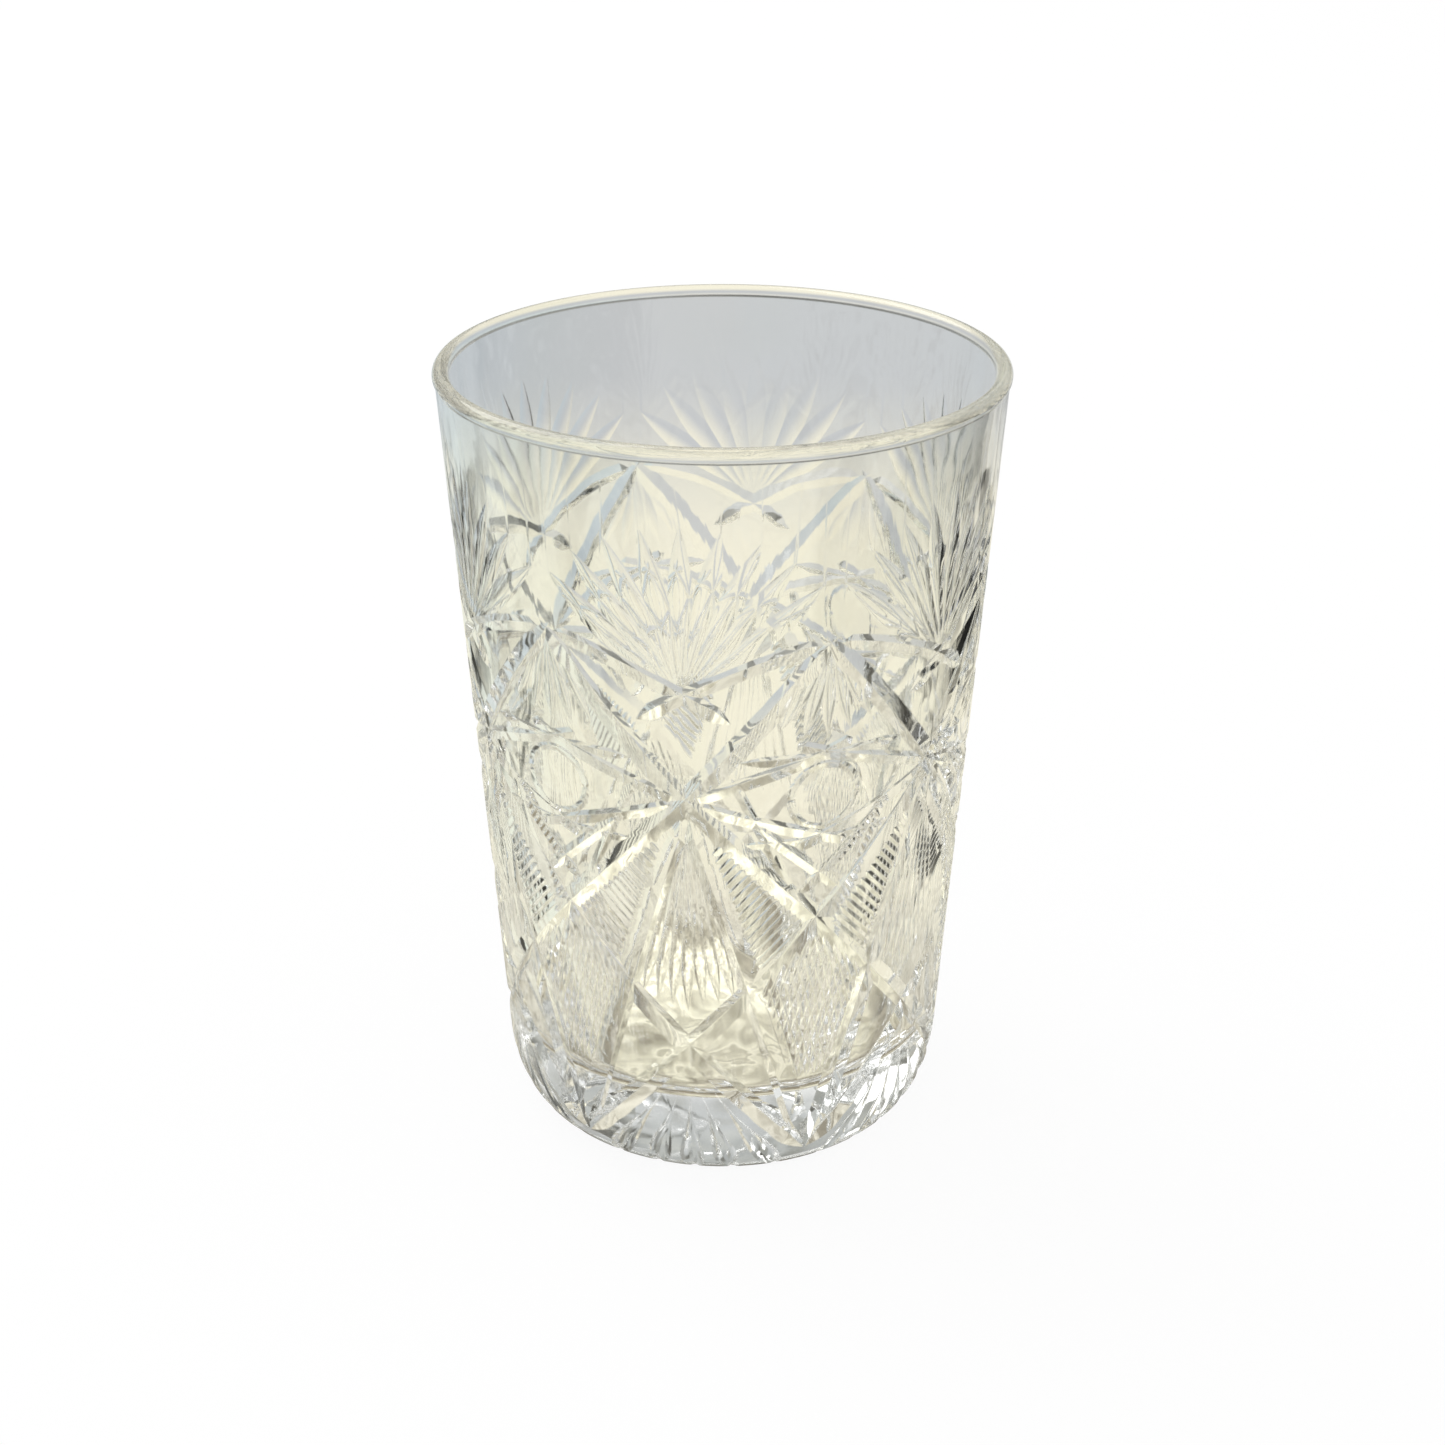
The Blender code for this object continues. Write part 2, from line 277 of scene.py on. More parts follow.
class StudioLook(bpy.types.PropertyGroup):
    """Table, surroundings, lamp and camera."""
    pool: colour("Light pool", "Light that the glass gathers under itself", (0.90, 0.855, 0.68))
    glow: colour("Caustic", "Light that the glass gathers on its far side", (1.62, 1.56, 1.27))
    contact: colour("Contact shadow", "Shadow where the foot meets the table", (0.22, 0.18, 0.12))
    ring: colour("Shadow ring", "Shadow of the glass on the table round it", (0.80, 0.765, 0.655))
    near: colour("Near table", "Table tone round the glass", (0.96, 0.915, 0.75))
    middle: colour("Middle table", "Table tone some way from the glass", (0.59, 0.605, 0.62))
    far: colour("Far table", "Table tone far from the glass", (0.74, 0.735, 0.69))
    dark: colour("Dark table", "Tone of the dark parts at both sides", (0.008, 0.008, 0.007))
    cool: colour("Cool side", "Tint of the window light on the left of the table", (0.93, 1.02, 1.08))
    horizon: colour("Horizon", "Tone of the room level with the table", (0.34, 0.34, 0.32))
    wall: colour("Walls", "Tone of the room above the table", (0.54, 0.56, 0.545))
    ceiling: colour("Ceiling", "Tone of the room overhead", (1.04, 1.05, 1.04))
    daylight: colour("Daylight", "Soft light that the room gives the table", (0.8, 0.8, 0.8))
    near_edge: length("Near edge", "Distance to which the near tone holds", 0.17)
    middle_edge: length("Middle edge", "Distance at which the middle tone is reached", 0.34)
    far_edge: length("Far edge", "Distance from which the far tone holds", 1.0)
    distance: length("Camera distance", "From the axis of the glass, along the table", 0.2776)
    camera_height: length("Camera height", "Over the table", 0.1863)
    azimuth: angle("Camera azimuth", "Turn round the glass", 8)
    pitch: angle("Camera pitch", "How far the camera looks down", 25.54)
    lens: bpy.props.FloatProperty(
        name="Lens", description="Focal length", default=57.3, min=1.0, unit="CAMERA")


class Wall:
    """The uncut outside of the glass, on which the cutter marks turns (radians) and heights (metres)."""

    def __init__(self, sizes):
        self.sizes = sizes

    def radius(self, height):
        s = self.sizes
        foot, heel = s.foot / 2, s.heel / 2
        if height < s.heel_height:
            below = min(1.0, 1 - height / s.heel_height)
            return foot + (heel - foot) * math.sqrt(1 - below * below)
        taper = (s.rim / 2 - s.flare - heel) / (s.height - s.heel_height)
        return heel + taper * (height - s.heel_height)

    def inner_radius(self, height):
        s = self.sizes
        share = (height - s.floor) / (s.height - s.floor)
        at_floor = self.radius(s.floor) - s.floor_wall
        return at_floor + (s.rim / 2 - s.rim_wall - at_floor) * share

    def point(self, turn, height):
        radius = self.radius(height)
        return Vector((radius * math.sin(turn), -radius * math.cos(turn), height))

    def normal(self, turn, height):
        step = 1e-5
        slope = (self.radius(height + step) - self.radius(height - step)) / (2 * step)
        return Vector((math.sin(turn), -math.cos(turn), -slope)).normalized()

    def lip_start(self, lip):
        """The turn at which the round of the lip leaves the straight wall, found by a few corrections."""
        s = self.sizes
        start = 0.0
        for _ in range(LIP_TRIES):
            wall_top = self.radius(s.height - lip + lip * math.sin(start))
            start = -math.acos((wall_top - s.rim / 2 + lip) / lip)
        return start

    def profile(self):
        """Half section from the edge of the base over the lip to the edge of the inner floor."""
        s = self.sizes
        foot, heel = s.foot / 2, s.heel / 2
        points = []
        for step in range(HEEL_STEPS + 1):
            turn = math.pi / 2 * step / HEEL_STEPS
            points.append((foot + (heel - foot) * math.sin(turn), s.heel_height * (1 - math.cos(turn))))
        lip = s.rim_wall / 2
        start = self.lip_start(lip)
        for step in range(LIP_STEPS + 1):
            turn = start + (math.pi - start) * step / LIP_STEPS
            points.append((s.rim / 2 - lip + lip * math.cos(turn), s.height - lip + lip * math.sin(turn)))
        top = s.floor + s.fillet
        for step in range(FILLET_STEPS + 1):
            turn = math.pi / 2 * step / FILLET_STEPS
            radius = self.inner_radius(top) - s.fillet * (1 - math.cos(turn))
            points.append((radius, top - s.fillet * math.sin(turn)))
        return points


class Cut:
    """One stroke of the wheel: its route on the wall, width, depth, steps, widest place, lean and sides."""

    def __init__(self, places, width, steepness, rings, belly=0.0, lean=0.0, sides=V_SIDES):
        self.places = places
        self.width = width
        self.steepness = steepness
        self.rings = rings
        self.belly = belly
        self.lean = lean
        self.sides = sides

    def at(self, share):
        reach = share * (len(self.places) - 1)
        first = min(int(reach), len(self.places) - 2)
        return between(self.places[first], self.places[first + 1], reach - first)

    def half_width(self, share):
        """A line keeps its width to its ends; a leaf is widest at its belly and pointed at both ends."""
        if not self.belly:
            return self.width / 2 if 0 < share < 1 else 0.0
        rise = LEAF_TAPER * self.belly / (1 - self.belly)
        swell = (share / self.belly) ** rise * ((1 - share) / (1 - self.belly)) ** LEAF_TAPER
        return self.width / 2 * swell

    def mirrored(self):
        """The same stroke on the other hand."""
        places = [(-turn, height) for turn, height in self.places]
        return Cut(places, self.width, self.steepness, self.rings, self.belly, -self.lean, self.sides)


def between(start, end, share):
    """The place at a share of the way from one place to another, or beyond them."""
    return tuple(a + (b - a) * share for a, b in zip(start, end))


def mirrored(cuts):
    """The same cuts leaning the other way."""
    return [cut.mirrored() for cut in cuts]


def deselect():
    """Leaves object mode with nothing selected."""
    if bpy.context.object and bpy.context.object.mode != "OBJECT":
        bpy.ops.object.mode_set(mode="OBJECT")
    bpy.ops.object.select_all(action="DESELECT")


def activate(obj):
    """Makes one object the only selected and active one."""
    deselect()
    obj.select_set(True)
    bpy.context.view_layer.objects.active = obj


def turn_blank(wall):
    """The uncut glass: a disc drawn up ring by ring, over the lip and down to the inner floor."""
    profile = wall.profile()
    deselect()
    radius, height = profile[0]
    bpy.ops.mesh.primitive_circle_add(
        vertices=wall.sizes.sides, radius=radius, fill_type="NGON", location=(0, 0, 0),
        rotation=(0, 0, BLANK_TURN))
    blank = bpy.context.object
    bpy.ops.object.transform_apply(location=True, rotation=True, scale=True)
    bpy.ops.object.mode_set(mode="EDIT")
    bpy.ops.mesh.select_all(action="SELECT")
    for next_radius, next_height in profile[1:]:
        rise = next_height - height
        bpy.ops.mesh.extrude_region_move(TRANSFORM_OT_translate={"value": (0, 0, rise)})
        scale = next_radius / radius
        bpy.ops.transform.resize(value=(scale, scale, 1), center_override=(0, 0, next_height))
        radius, height = next_radius, next_height
    bpy.ops.mesh.select_all(action="SELECT")
    bpy.ops.mesh.normals_make_consistent(inside=False)
    bpy.ops.object.mode_set(mode="OBJECT")
    return blank


def shape_stroke(wall, cut, verts, steepness):
    """Lays a spindle along its route, its lower half in the glass: a V, or a hollow with more sides."""
    head = LEAF_HEAD if cut.belly else LINE_HEAD
    probe = 1 / (2 * cut.rings)
    brink = steepness * (2 - V_SIDES / cut.sides)
    for vert in verts:
        polar = math.acos(max(-1.0, min(1.0, vert.co.z)))
        share = round(polar / math.pi * cut.rings) / cut.rings
        turn, height = cut.at(share)
        place = wall.point(turn, height)
        normal = wall.normal(turn, height)
        before = wall.point(*cut.at(max(0.0, share - probe)))
        after = wall.point(*cut.at(min(1.0, share + probe)))
        side = (after - before).cross(normal).normalized()
        half = cut.half_width(share)
        around = math.atan2(vert.co.y, vert.co.x) / math.pi
        across = 1 - 2 * abs(around)
        hollow = 1 - across * across
        if not 0 < share < 1:
            vert.co = place + normal * POINT_LIFT
        elif hollow < BRINK:
            reach = half + head * (1 - across * cut.lean) / brink
            vert.co = place + side * across * reach + normal * head
        elif around > 0:
            vert.co = place + side * across * half + normal * head * (1 + hollow)
        else:
            shift = across + cut.lean * (1 - abs(across))
            vert.co = place + side * half * shift - normal * half * steepness * hollow


def make_wheel(name, wall, cuts, depth):
    """One cutter object with a set of strokes that don't meet, copied round the glass."""
    deselect()
    wheel = None
    for cut in cuts:
        bpy.ops.mesh.primitive_uv_sphere_add(
            segments=cut.sides, ring_count=cut.rings, radius=1, location=(0, 0, 0))
        if not wheel:
            wheel = bpy.context.object
            wheel.name = name
            bpy.ops.object.mode_set(mode="EDIT")
        bm = bmesh.from_edit_mesh(wheel.data)
        shape_stroke(wall, cut, [vert for vert in bm.verts if vert.select], cut.steepness * depth)
        bpy.ops.mesh.select_all(action="DESELECT")
    bpy.ops.mesh.select_all(action="SELECT")
    for _ in range(REPEATS - 1):
        bpy.ops.mesh.duplicate()
        bpy.ops.transform.rotate(value=SECTOR, orient_axis="Z", center_override=(0, 0, 0))
    bpy.ops.mesh.select_all(action="SELECT")
    bpy.ops.mesh.normals_make_consistent(inside=False)
    bpy.ops.object.mode_set(mode="OBJECT")
    return wheel


def grind(glass, wheel):
    """Takes a wheel's strokes out of the glass."""
    faces = len(glass.data.polygons)
    activate(glass)
    bpy.ops.object.modifier_add(type="BOOLEAN")
    stroke = glass.modifiers[-1]
    stroke.operation = "DIFFERENCE"
    stroke.solver = "MANIFOLD"
    stroke.object = wheel
    bpy.ops.object.modifier_apply(modifier=stroke.name)
    if len(glass.data.polygons) <= faces:
        raise RuntimeError(f"{wheel.name} cut nothing")
    bpy.data.meshes.remove(wheel.data)


def fan(wall, hub, reach, count, spread, start=HUB_CLEARANCE, down=False, narrowing=0.0, room=math.inf,
        **stroke):
    """Leaves that leave a hub like the ribs of a fan; narrowing and room shorten the outer ones."""
    hub_turn, hub_height = hub
    cuts = []
    for leaf in range(count):
        lean = spread * (2 * leaf / (count - 1) - 1)
        end = reach / (math.cos(lean) + narrowing * abs(math.sin(lean))) if narrowing else reach
        end = min(end, room / max(abs(math.sin(lean)), TINY))
        places = []
        for step in range(FAN_STEPS + 1):
            far = start + (end - start) * step / FAN_STEPS
            height = hub_height + far * math.cos(lean) * (-1 if down else 1)
            turn = hub_turn + far * math.sin(lean) / wall.radius(max(height, HEEL_LEVEL))
            places.append((turn, height))
        cuts.append(Cut(places, sides=HOLLOW_SIDES, **stroke))
    return cuts


def clipped(origin, direction, corners):
    """Where a straight line on the unrolled wall enters and leaves a patch with these corners."""
    marks = []
    for (ax, ay), (bx, by) in zip(corners, corners[1:] + corners[:1]):
        ex, ey = bx - ax, by - ay
        turn = direction[0] * ey - direction[1] * ex
        if abs(turn) < TINY:
            continue
        along = ((ax - origin[0]) * ey - (ay - origin[1]) * ex) / turn
        across = ((ax - origin[0]) * direction[1] - (ay - origin[1]) * direction[0]) / turn
        if 0 <= across <= 1:
            marks.append(along)
    return (min(marks), max(marks)) if len(marks) > 1 else None


def hatching(wall, pattern, corners, slope):
    """Fine parallel strokes that fill a patch of the wall, along a slope given by two places."""
    step, width = pattern.hatch_step, pattern.hatch
    middle = sum(height for _, height in corners) / len(corners)
    scale = wall.radius(middle)
    flat = [(turn * scale, height) for turn, height in corners]
    run = ((slope[1][0] - slope[0][0]) * scale, slope[1][1] - slope[0][1])
    reach = math.hypot(*run)
    run = (run[0] / reach, run[1] / reach)
    across = (-run[1], run[0])
    offsets = [x * across[0] + y * across[1] for x, y in flat]
    cuts = []
    count = int((max(offsets) - min(offsets)) / step)
    first = (max(offsets) + min(offsets) - (count - 1) * step) / 2
    for index in range(count):
        offset = first + index * step
        origin = (across[0] * offset, across[1] * offset)
        ends = clipped(origin, run, flat)
        if not ends or ends[1] - ends[0] < 2 * HATCH_INSET + 2 * width:
            continue
        places = []
        for end in (ends[0] + HATCH_INSET, ends[1] - HATCH_INSET):
            places.append(((origin[0] + run[0] * end) / scale, origin[1] + run[1] * end))
        cuts.append(Cut(places, width, pattern.hatch_steepness, rings=6))
    return cuts


def line_sets(pattern):
    """The cuts that share the wall out: crossing diagonals, swags, brows under the hubs and tent legs."""
    p = pattern
    heights = (p.peak, p.star_hub, p.lower, p.crossing, p.heel_vertex)
    diagonal_route = [((column - 1) * HALF, height) for column, height in enumerate(heights)]
    diagonal_route[0] = between(diagonal_route[0], diagonal_route[1], DIAGONAL_START)
    swag_route = []
    for step in range(SWAG_STEPS + 1):
        share = SWAG_START + SWAG_RUN * step / SWAG_STEPS
        swag_route.append((HALF * (1 - share), p.peak - (p.peak - p.fan_hub) * share ** SWAG_BOW))
    brow_route = [(math.radians(turn), p.fan_hub - drop) for turn, drop in BROW_MARKS]
    leg_route = []
    for step in range(LEG_STEPS + 1):
        share = LEG_START + LEG_RUN * step / LEG_STEPS
        leg_route.append(between((0.0, p.star_hub), (HALF, p.heel_vertex), share))
    lines = {
        "diagonal": Cut(diagonal_route, p.diagonal, p.line_steepness, rings=28),
        "swag": Cut(swag_route, p.swag, p.line_steepness, rings=16),
        "brow": Cut(brow_route, p.brow, p.brow_steepness, rings=10, belly=0.55),
        "leg": Cut(leg_route, p.leg, p.line_steepness, rings=14, lean=p.leg_lean),
    }
    sets = []
    for name, cut in lines.items():
        sets.append((f"{name}_right", [cut]))
        sets.append((f"{name}_left", [cut.mirrored()]))
    return sets


def star_line(pattern, marks, width, side=1):
    """One line of a star, or with side -1 its mirror image."""
    places = []
    for turn, rise in marks:
        places.append((HALF + side * math.radians(turn), pattern.star_hub + rise / 1000))
    return Cut(places, width, pattern.star_steepness, rings=STAR_RINGS * len(marks))


def star_sets(wall, pattern):
    """The star in each big diamond, and the groove round its plain button in two halves."""
    sets = []
    for name, marks, width in STAR_LINES:
        for hand, side in (("right", 1), ("left", -1)):
            sets.append((f"star_{name}_{hand}", [star_line(pattern, marks, width, side)]))
    for name, marks, width in STAR_LEVELS:
        sets.append((f"star_{name}", [star_line(pattern, marks, width)]))
    for name, start in (("upper", 0.0), ("lower", math.pi)):
        places = []
        for step in range(BUTTON_STEPS + 1):
            share = step * (1 + 2 * BUTTON_OVERLAP) / BUTTON_STEPS - BUTTON_OVERLAP
            swing = start + math.pi * share
            rise = pattern.button / 2 * math.sin(swing)
            turn = pattern.button / 2 * math.cos(swing) / wall.radius(pattern.star_hub)
            places.append((HALF + turn, pattern.star_hub + rise))
        sets.append((f"button_{name}", [Cut(places, pattern.groove, pattern.star_steepness, rings=18)]))
    return sets


def hatch_sets(wall, pattern):
    """Hatching beside the tent legs, and the net in the kite between two legs."""
    hub = (0.0, pattern.star_hub)
    vertex = (HALF, pattern.heel_vertex)
    lower = (HALF, pattern.lower)
    fall = (pattern.star_hub - HATCH_FOOT) / (pattern.star_hub - pattern.heel_vertex)
    leg_mark = between(hub, vertex, fall)
    triangle = [between(hub, lower, HATCH_START), lower, leg_mark, between(hub, leg_mark, HATCH_START)]
    net_mark = between(vertex, leg_mark, NET_START)
    far_marks = [(SECTOR - turn, height) for turn, height in (net_mark, leg_mark)]
    kite = [lower, leg_mark, net_mark, *far_marks]
    hatch = hatching(wall, pattern, triangle, (leg_mark, lower))
    net = hatching(wall, pattern, kite, (leg_mark, vertex))
    sets = []
    for start, name in enumerate(PASSES):
        sets.append((f"hatch_{name}", hatch[start::2] + mirrored(hatch[start::2])))
    for start, name in enumerate(PASSES):
        sets.append((f"net_right_{name}", net[start::2]))
        sets.append((f"net_left_{name}", mirrored(net[start::2])))
    return sets


def leaf_sets(wall, pattern):
    """The fans: leaves over the hubs and under the peaks, flutes in the tents and rays on the heel."""
    p = pattern
    fans = {
        "fan": fan(
            wall, (0.0, p.fan_hub), p.fan_reach, FAN_LEAVES, FAN_SPREAD,
            width=p.fan_leaf, steepness=p.fan_steepness, rings=14, belly=0.54),
        "peak": fan(
            wall, (HALF, p.peak), p.peak_reach, PEAK_LEAVES, PEAK_SPREAD, down=True,
            width=p.peak_leaf, steepness=p.peak_steepness, rings=12, belly=0.54),
        "flute": fan(
            wall, (0.0, p.star_hub), p.flute_reach, FLUTES, FLUTE_SPREAD, FLUTE_START, down=True,
            narrowing=FLUTE_NARROWING, width=p.flute, steepness=p.flute_steepness, rings=12, belly=0.62),
        "foot": fan(
            wall, (0.0, p.crossing - HUB_CLEARANCE), p.foot_reach, FOOT_RAYS, FOOT_SPREAD, down=True,
            narrowing=FOOT_NARROWING, room=FOOT_ROOM,
            width=p.foot_ray, steepness=p.foot_steepness, rings=20, belly=0.78),
    }
    sets = []
    for name, leaves in fans.items():
        for start, part in enumerate(PASSES):
            sets.append((f"{name}_{part}", leaves[start::2]))
    return sets


def cut_sets(wall, pattern):
    """Every set of strokes, in the order in which they are ground."""
    lines = line_sets(pattern) + star_sets(wall, pattern)
    return lines + hatch_sets(wall, pattern) + leaf_sets(wall, pattern)


class Socket:
    """A shader value. Python's operators on it add Math nodes."""

    def __init__(self, shader, socket):
        self.shader = shader
        self.socket = socket

    def __add__(self, other):
        return self.shader.math("ADD", self, other)

    def __radd__(self, other):
        return self.shader.math("ADD", other, self)

    def __sub__(self, other):
        return self.shader.math("SUBTRACT", self, other)

    def __rsub__(self, other):
        return self.shader.math("SUBTRACT", other, self)

    def __mul__(self, other):
        return self.shader.math("MULTIPLY", self, other)

    def __rmul__(self, other):
        return self.shader.math("MULTIPLY", other, self)

    def __truediv__(self, other):
        return self.shader.math("DIVIDE", self, other)

    def __rtruediv__(self, other):
        return self.shader.math("DIVIDE", other, self)

    def __abs__(self):
        return self.shader.math("ABSOLUTE", self, 0.0)


def set_stops(ramp, stops):
    """Fills a colour ramp with (position, colour) stops."""
    ramp.interpolation = "EASE"
    while len(ramp.elements) < len(stops):
        ramp.elements.new(0.5)
    for element, (position, tone) in zip(ramp.elements, stops):
        element.position = position
        element.color = (*tone, 1)


class Shader:
    """The node tree of a material or world, emptied and then filled node by node."""

    def __init__(self, owner):
        owner.use_nodes = True
        self.tree = owner.node_tree
        self.tree.nodes.clear()

    def node(self, kind, settings=None, output=0, **inputs):
        """Adds a node, sets it up, links or fills its sockets and returns one of its outputs.

        A socket goes by its name with underscores for spaces, or by an underscore and its number.
        """
        node = self.tree.nodes.new(kind)
        for name, value in (settings or {}).items():
            if name == "stops":
                set_stops(node.color_ramp, value)
            else:
                setattr(node, name, value)
        for name, value in inputs.items():
            socket = node.inputs[int(name[1:]) if name[0] == "_" else name.replace("_", " ")]
            if isinstance(value, Socket):
                self.tree.links.new(value.socket, socket)
            else:
                socket.default_value = value
        return Socket(self, node.outputs[output]) if node.outputs else None

    def math(self, operation, first, second):
        return self.node("ShaderNodeMath", {"operation": operation}, _0=first, _1=second)

    def along(self, place, way):
        """How far a place lies along a direction."""
        settings = {"operation": "DOT_PRODUCT"}
        return self.node("ShaderNodeVectorMath", settings, output="Value", _0=place, _1=way)

    def smooth(self, value, low, high):
        """0 under the low value, 1 over the high one, with a soft step between them."""
        settings = {"interpolation_type": "SMOOTHSTEP"}
        return self.node("ShaderNodeMapRange", settings, Value=value, From_Min=low, From_Max=high)

    def noise(self, place, scale, detail=1.0, distortion=0.0):
        return self.node(
            "ShaderNodeTexNoise", Vector=place, Scale=scale, Detail=detail, Distortion=distortion)

    def ramp(self, value, stops):
        return self.node("ShaderNodeValToRGB", {"stops": stops}, Fac=value)

    def mix(self, share, first, second, blend="MIX"):
        """A colour with a share of another, which is a shader value or three numbers."""
        settings = {"data_type": "RGBA", "blend_type": blend}
        tone = second if isinstance(second, Socket) else (*second, 1)
        return self.node("ShaderNodeMix", settings, output=2, _0=share, _6=first, _7=tone)


def crystal_material(finish):
    """Polished lead crystal with faint streaks, softened cut edges and a slow ripple."""
    material = bpy.data.materials.new("crystal")
    shader = Shader(material)
    place = shader.node("ShaderNodeTexCoord", output="Object")
    ripple = shader.noise(place, scale=160.0)
    streaks = shader.noise(place, scale=45.0, distortion=0.8)
    tint = shader.ramp(streaks, ((0.35, finish.streak), (0.65, finish.tint)))
    soft = shader.node("ShaderNodeBevel", {"samples": 2}, Radius=finish.edge)
    bump = shader.node(
        "ShaderNodeBump", Height=ripple, Strength=finish.ripple, Distance=0.001, Normal=soft)
    surface = shader.node(
        "ShaderNodeBsdfPrincipled", Base_Color=tint, Roughness=finish.haze, IOR=finish.ior,
        Transmission_Weight=1.0, Normal=bump)
    shader.node("ShaderNodeOutputMaterial", Surface=surface)
    return material


def gathered_light(shader, away, along):
    """Share of the light that the glass gathers on its far side, by distances from and behind its axis."""
    behind = shader.smooth(along, CAUSTIC_FROM, CAUSTIC_TO)
    inside = 1 - shader.smooth(away, POOL_EDGE, CONTACT_FROM)
    spill = 1 - shader.smooth(away, SPILL_FROM, SPILL_TO)
    return behind * (inside * POOL_SHARE + spill * SPILL_SHARE)


def dark_parts(shader, place, away, across):
    """Share of the dark tone: blotches at both sides, more of them on the right."""
    aside = shader.smooth(abs(across) / away, ASIDE_FROM, ASIDE_TO)
    beyond = shader.smooth(away, DARK_FROM, DARK_TO)
    blotch = shader.noise(place, scale=15.0)
    shade = shader.smooth(blotch + across * BLOTCH_LEAN, BLOTCH_FROM, BLOTCH_TO)
    return aside * beyond * shade


def table_tone(shader, look):
    """The table as the glass shows it: tones by distance, gathered light, dark parts and play of light."""
    place = shader.node("ShaderNodeTexCoord", output="Object")
    away = shader.node("ShaderNodeVectorMath", {"operation": "LENGTH"}, output="Value", _0=place)
    along = shader.along(place, (-math.sin(look.azimuth), math.cos(look.azimuth), 0))
    across = shader.along(place, (math.cos(look.azimuth), math.sin(look.azimuth), 0))
    tone = shader.ramp(away, (
        (POOL_EDGE, look.pool), (CONTACT_FROM, look.contact), (CONTACT_TO, look.contact),
        (RING_FROM, look.ring), (RING_TO, look.ring), (NEAR_FROM, look.near),
        (look.near_edge, look.near), (look.middle_edge, look.middle), (look.far_edge, look.far)))
    tone = shader.mix(gathered_light(shader, away, along), tone, look.glow)
    tone = shader.mix(dark_parts(shader, place, away, across), tone, look.dark)
    left = shader.smooth(across * -1.0, COOL_FROM, COOL_TO)
    tone = shader.mix(left, tone, look.cool, "MULTIPLY")
    play = shader.ramp(shader.noise(place, scale=130.0, detail=2.0, distortion=1.2), PLAY_TONES)
    close = 1 - shader.smooth(away, PLAY_FROM, PLAY_TO)
    return shader.mix(close, tone, play, "MULTIPLY")


def table_material(look):
    """White to the camera with the glass's soft shadow; through the glass a table with light and shade."""
    material = bpy.data.materials.new("table")
    shader = Shader(material)
    camera = shader.node("ShaderNodeLightPath", output="Is Camera Ray")
    glossy = shader.node("ShaderNodeLightPath", output="Is Glossy Ray")
    through = shader.node("ShaderNodeLightPath", output="Is Transmission Ray")
    seen = shader.mix(camera, table_tone(shader, look), WHITE)
    glow = shader.node("ShaderNodeEmission", Color=seen, Strength=1.0)
    matt = shader.node("ShaderNodeBsdfPrincipled", Base_Color=seen, Roughness=1.0, Specular_IOR_Level=0.0)
    direct = camera * DIRECT_GLOW + (glossy + through) * GLASS_GLOW
    surface = shader.node("ShaderNodeMixShader", _0=direct, _1=matt, _2=glow)
    shader.node("ShaderNodeOutputMaterial", Surface=surface)
    return material


def studio_world(look):
    """White to the camera; through the glass a soft grey room with light and dark parts."""
    world = bpy.data.worlds.new("studio")
    shader = Shader(world)
    camera = shader.node("ShaderNodeLightPath", output="Is Camera Ray")
    diffuse = shader.node("ShaderNodeLightPath", output="Is Diffuse Ray")
    way = shader.node("ShaderNodeTexCoord", output="Generated")
    height = shader.node("ShaderNodeSeparateXYZ", output="Z", _0=way)
    room = shader.ramp(height, (
        (0.0, look.horizon), (HORIZON_TOP, look.horizon), (WALL_AT, look.wall), (CEILING_AT, look.ceiling)))
    parts = shader.ramp(shader.noise(way, scale=3.2), ROOM_TONES)
    room = shader.mix(1.0, room, parts, "MULTIPLY")
    lit = shader.mix(diffuse, room, look.daylight)
    seen = shader.mix(camera, lit, WHITE)
    sky = shader.node("ShaderNodeBackground", Color=seen, Strength=1.0)
    shader.node("ShaderNodeOutputWorld", Surface=sky)
    return world


def add_table(look):
    """The table that the glass stands on."""
    deselect()
    bpy.ops.mesh.primitive_plane_add(size=TABLE_WIDTH, location=(0, 0, TABLE_LEVEL))
    table = bpy.context.object
    table.name = "table"
    table.data.materials.append(table_material(look))


def add_window():
    """A soft lamp at the left, behind the glass."""
    deselect()
    bpy.ops.object.light_add(type="AREA", location=WINDOW_PLACE)
    lamp = bpy.context.object
    lamp.name = "window"
    lamp.data.shape = "RECTANGLE"
    lamp.data.size = WINDOW_WIDTH
    lamp.data.size_y = WINDOW_HEIGHT
    lamp.data.energy = WINDOW_POWER
    lamp.rotation_euler = (Vector(WINDOW_AIM) - lamp.location).to_track_quat("-Z", "Y").to_euler()
    lamp.visible_camera = False


def add_camera(look):
    """The camera, turned round the axis of the glass and looking down at it."""
    deselect()
    bpy.ops.object.camera_add()
    camera = bpy.context.object
    camera.name = "camera"
    camera.data.lens = look.lens
    camera.data.sensor_width = SENSOR_WIDTH
    camera.data.clip_start = NEAR_CLIP
    camera.location = (
        look.distance * math.sin(look.azimuth), -look.distance * math.cos(look.azimuth), look.camera_height)
    camera.rotation_euler = (math.pi / 2 - look.pitch, 0, look.azimuth)
    return camera


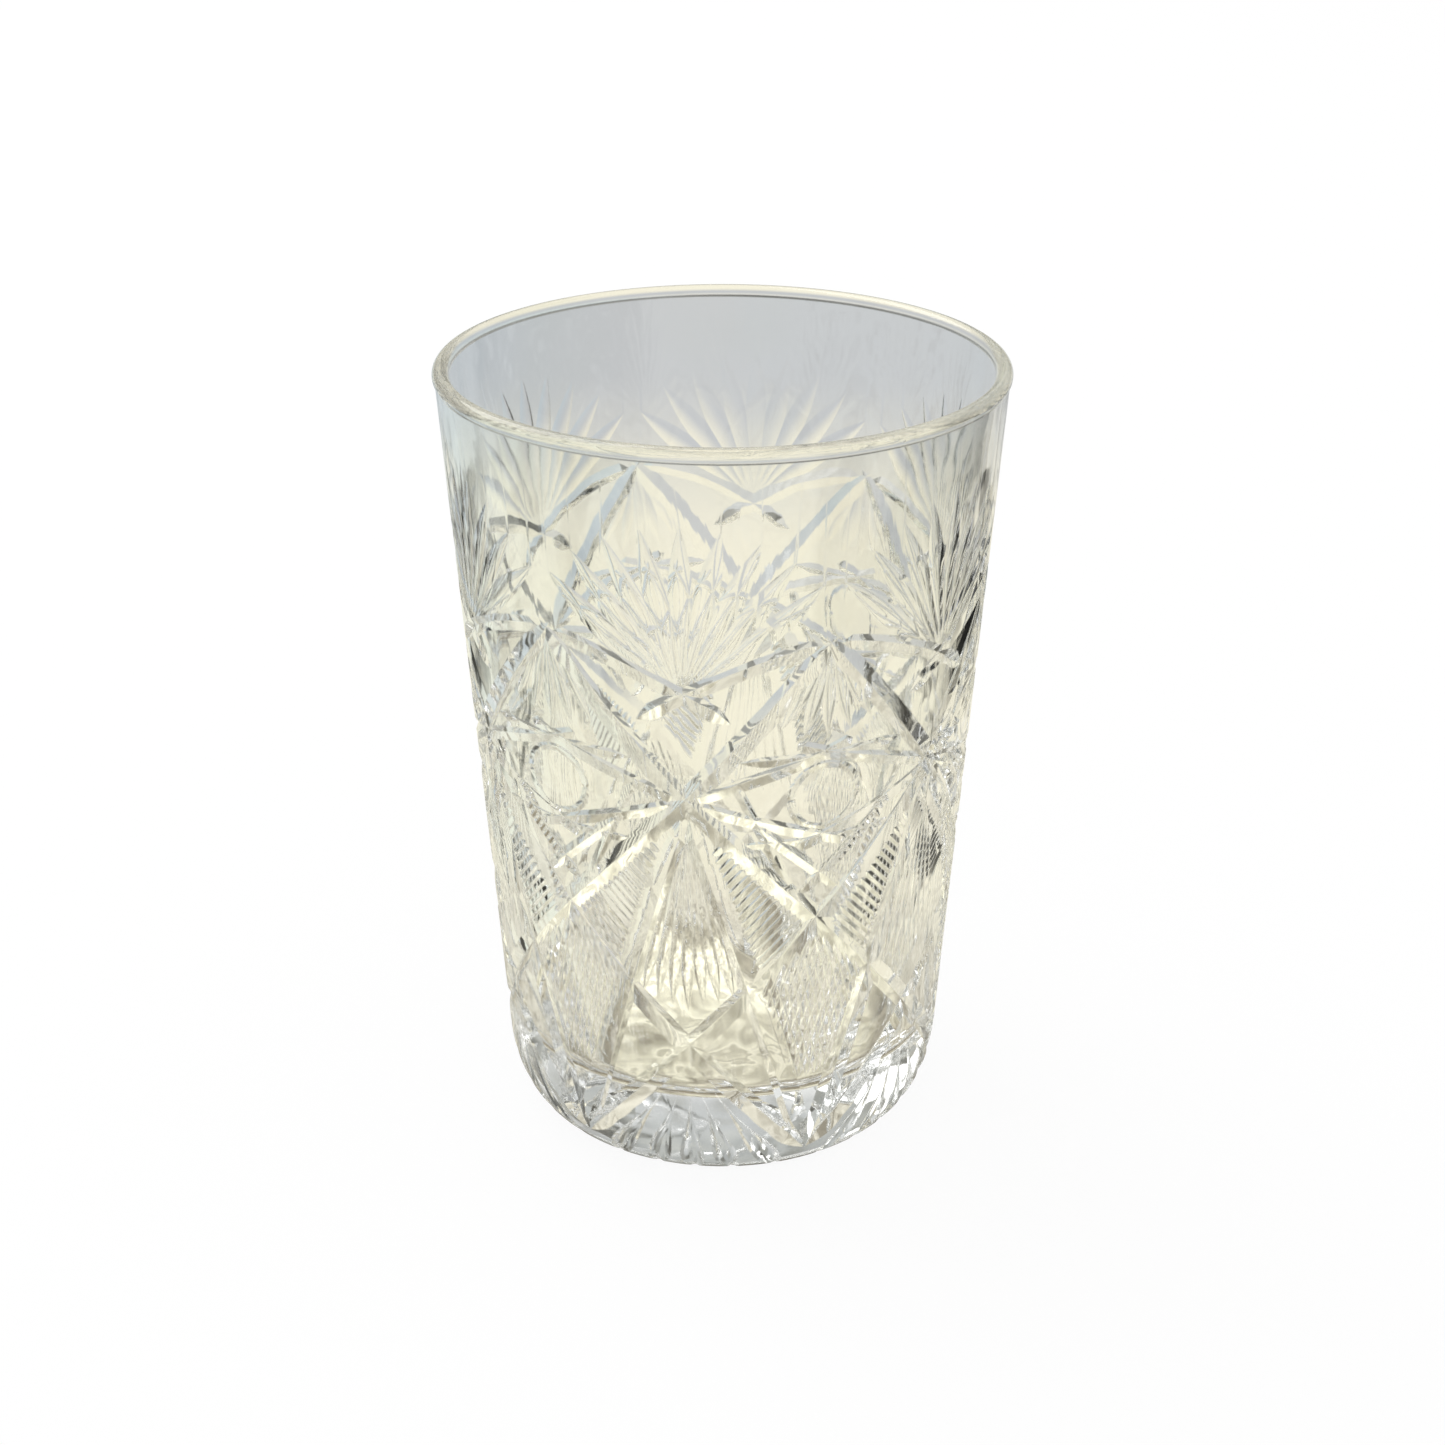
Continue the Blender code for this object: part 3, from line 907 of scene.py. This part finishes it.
class TEAGLASS_OT_tumbler(bpy.types.Operator):
    """Turns the glass, grinds every cut into it and gives it its polish"""
    bl_idname = "teaglass.tumbler"
    bl_label = "Cut Glass Tumbler"

    def execute(self, context):
        scene = context.scene
        wall = Wall(scene.tumbler_sizes)
        glass = turn_blank(wall)
        glass.name = "cut_crystal"
        glass.data.name = "cut_crystal"
        for index, (name, cuts) in enumerate(cut_sets(wall, scene.pattern_sizes)):
            depth = 1 - DEPTH_STEP * (index % DEPTH_LEVELS)
            grind(glass, make_wheel(f"wheel_{name}", wall, cuts, depth))
        activate(glass)
        bpy.ops.object.shade_smooth_by_angle(angle=SMOOTH_ANGLE)
        glass.data.materials.clear()
        glass.data.materials.append(crystal_material(scene.crystal_finish))
        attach(glass, "root")
        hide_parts("cut_glass_tumbler")
        return {"FINISHED"}


class TEAGLASS_OT_studio(bpy.types.Operator):
    """Sets up the table, the surroundings, the lamp and the camera"""
    bl_idname = "teaglass.studio"
    bl_label = "Studio"

    def execute(self, context):
        scene = context.scene
        look = scene.studio_look
        add_table(look)
        scene.world = studio_world(look)
        add_window()
        scene.camera = add_camera(look)
        scene.view_settings.view_transform = "Standard"
        scene.cycles.max_bounces = BOUNCES
        scene.cycles.glossy_bounces = GLOSSY_BOUNCES
        scene.cycles.transmission_bounces = BOUNCES
        return {"FINISHED"}


class TEAGLASS_PT_panel(bpy.types.Panel):
    """Lists the sizes, finishes and operators of the tea glass"""
    bl_idname = "TEAGLASS_PT_panel"
    bl_label = "Cut Crystal Tea Glass"
    bl_space_type = "VIEW_3D"
    bl_region_type = "UI"
    bl_category = "Tea Glass"

    def draw(self, context):
        for name, group in GROUPS.items():
            box = self.layout.box()
            settings = getattr(context.scene, name)
            for setting in group.__annotations__:
                box.prop(settings, setting)
        self.layout.operator(TEAGLASS_OT_tumbler.bl_idname)
        self.layout.operator(TEAGLASS_OT_studio.bl_idname)


GROUPS = {
    "tumbler_sizes": TumblerSizes,
    "pattern_sizes": PatternSizes,
    "crystal_finish": CrystalFinish,
    "studio_look": StudioLook,
}
CLASSES = (*GROUPS.values(), TEAGLASS_OT_tumbler, TEAGLASS_OT_studio, TEAGLASS_PT_panel)


def register():
    for cls in CLASSES:
        bpy.utils.register_class(cls)
    for name, group in GROUPS.items():
        setattr(bpy.types.Scene, name, bpy.props.PointerProperty(type=group))


def unregister():
    for name in GROUPS:
        delattr(bpy.types.Scene, name)
    for cls in reversed(CLASSES):
        bpy.utils.unregister_class(cls)


def main():
    register()
    bpy.ops.teaglass.tumbler()
    bpy.ops.teaglass.studio()


if __name__ == "__main__":
    main()
